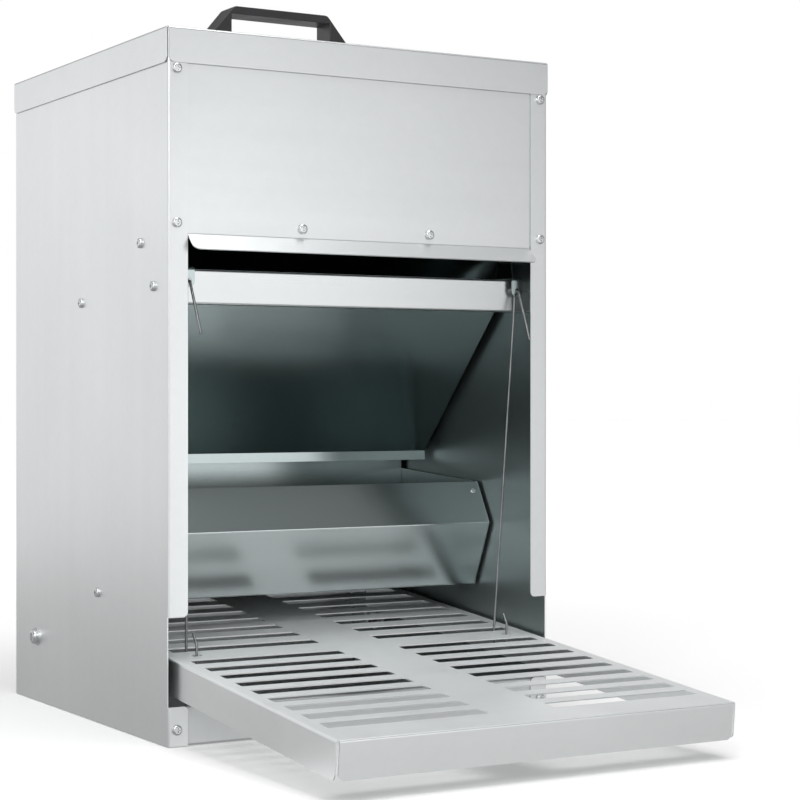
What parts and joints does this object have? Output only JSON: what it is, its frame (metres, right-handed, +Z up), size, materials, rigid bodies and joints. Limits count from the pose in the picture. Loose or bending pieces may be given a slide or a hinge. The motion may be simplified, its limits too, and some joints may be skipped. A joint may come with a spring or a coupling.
{
  "type": "treadle chicken feeder",
  "caption": "Treadle chicken feeder: galvanised sheet housing with hopper, trough, hinged flap linked by wire rods to a slotted treadle, and a lift-off lid with a handle.",
  "frame": {"origin": "centre of the housing's footprint on the floor", "axes": "+X to the feeder's left-hand side as it faces the bird, across the housing; +Y from the front opening to the back; +Z up"},
  "size_m": [0.3092, 0.5122, 0.518],
  "materials": {
    "outer_sheet": "smooth galvanised",
    "inner_sheet": "smooth galvanised",
    "fasteners": "bright zinc",
    "wire": "drawn zinc wire",
    "handle": "fine matte"
  },
  "bodies": {
    "housing": {"back_panel": "outer_sheet", "back_panel_nuts": "fasteners", "back_panel_screws": "fasteners", "base_front_nuts": "fasteners", "base_front_screws": "fasteners", "base_rear_nuts": "fasteners", "base_rear_screws": "fasteners", "base_tray": "outer_sheet", "cross_bar": "inner_sheet", "cross_bar_nuts": "fasteners", "cross_bar_screws": "fasteners", "feed_trough": "inner_sheet", "flap_pivot_bolts": "fasteners", "flap_pivot_bushes": "fasteners", "flap_pivot_nuts": "fasteners", "flap_pivot_washers": "fasteners", "front_panel": "outer_sheet", "front_panel_nuts": "fasteners", "front_panel_screws": "fasteners", "hopper_front_nuts": "fasteners", "hopper_front_screws": "fasteners", "hopper_front_slope": "inner_sheet", "hopper_rear_nuts": "fasteners", "hopper_rear_screws": "fasteners", "hopper_rear_slope": "inner_sheet", "hopper_side_left": "inner_sheet", "hopper_side_nuts": "fasteners", "hopper_side_right": "inner_sheet", "hopper_side_screws": "fasteners", "side_panel_left": "outer_sheet", "side_panel_right": "outer_sheet", "treadle_pivot_bolts": "fasteners", "treadle_pivot_bushes": "fasteners", "treadle_pivot_nuts": "fasteners", "treadle_pivot_washers": "fasteners", "trough_end_left": "inner_sheet", "trough_end_right": "inner_sheet", "trough_nuts": "fasteners", "trough_rear_nuts": "fasteners", "trough_rear_screws": "fasteners", "trough_rivets": "fasteners", "trough_screws": "fasteners", "trough_spacers": "fasteners"},
    "treadle": {"treadle": "outer_sheet"},
    "flap": {"flap": "inner_sheet"},
    "pull_rod_left": {"pull_rod_left": "wire"},
    "pull_rod_right": {"pull_rod_right": "wire"},
    "lid": {"handle_screws": "fasteners", "handle_washers": "fasteners", "lid": "outer_sheet", "lid_handle": "handle"}
  },
  "joints": [
    {"name": "treadle_hinge", "type": "hinge", "parent": "housing", "child": "treadle", "pos_m": [0, 0.0982, 0.0484], "axis": [-1, 0, 0], "range_deg": [0, 4.5]},
    {"name": "flap_hinge", "type": "hinge", "parent": "housing", "child": "flap", "pos_m": [0, -0.0998, 0.3332], "axis": [-1, 0, 0], "range_deg": [0, 23.1]},
    {"name": "rod_hinge_left", "type": "hinge", "parent": "flap", "child": "pull_rod_left", "pos_m": [-0.1308, -0.1348, 0.3067], "axis": [-1, 0, 0], "range_deg": [-25.2, 0]},
    {"name": "rod_hinge_right", "type": "hinge", "parent": "flap", "child": "pull_rod_right", "pos_m": [0.1308, -0.1348, 0.3067], "axis": [-1, 0, 0], "range_deg": [-25.2, 0]},
    {"name": "lid_lift", "type": "slide", "parent": "housing", "child": "lid", "axis": [0, 0, 1], "range_m": [0, 0.15]}
  ],
  "couplings": [
    {"joint": "flap_hinge", "follows": "treadle_hinge", "ratio": 5.1227},
    {"joint": "rod_hinge_left", "follows": "treadle_hinge", "ratio": -5.583},
    {"joint": "rod_hinge_right", "follows": "treadle_hinge", "ratio": -5.583}
  ]
}
